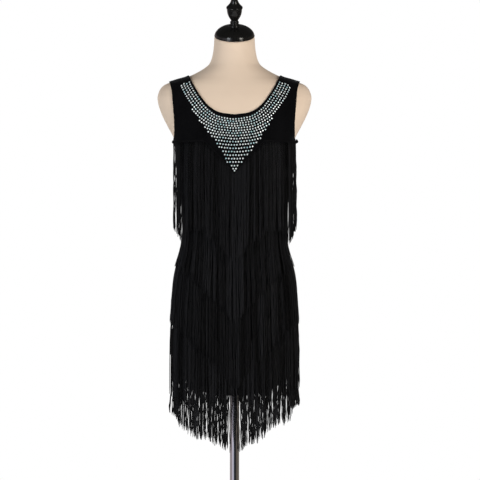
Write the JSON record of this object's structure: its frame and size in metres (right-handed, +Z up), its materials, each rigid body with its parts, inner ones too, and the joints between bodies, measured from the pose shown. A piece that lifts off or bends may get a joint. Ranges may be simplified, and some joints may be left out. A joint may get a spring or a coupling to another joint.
{
  "type": "latin dance dress on dress form",
  "caption": "Sleeveless fringed latin dance dress with a scoop neck, worn on a limbless dress form that stands on a pole and a round base.",
  "frame": {"origin": "on the floor, on the axis of the pole", "axes": "+Z up, the front of the dress towards -Y, +X to the right as seen from the front"},
  "size_m": [0.385, 0.32, 1.6266],
  "materials": {
    "form_skin": "smooth matte beige cover",
    "black_gloss": "high gloss black",
    "chrome": "polished",
    "black_enamel": "satin black enamel",
    "black_velvet": "black stretch velvet, soft nap",
    "black_fringe": "black chainette fringe, slight sheen",
    "rhinestone": "foil-backed clear crystal with a faint aqua cast"
  },
  "bodies": {
    "root": {"form_torso": "form_skin", "neck_cap": "black_gloss", "finial": "black_gloss", "pole": "chrome", "stand_base": "black_enamel", "front_panel": "black_velvet", "back_panel": "black_velvet", "front_fringe_1": "black_fringe", "front_fringe_2": "black_fringe", "front_fringe_3": "black_fringe", "front_fringe_4": "black_fringe", "front_fringe_5": "black_fringe", "back_fringe_1": "black_fringe", "back_fringe_2": "black_fringe", "back_fringe_3": "black_fringe", "back_fringe_4": "black_fringe"}
  },
  "joints": []
}
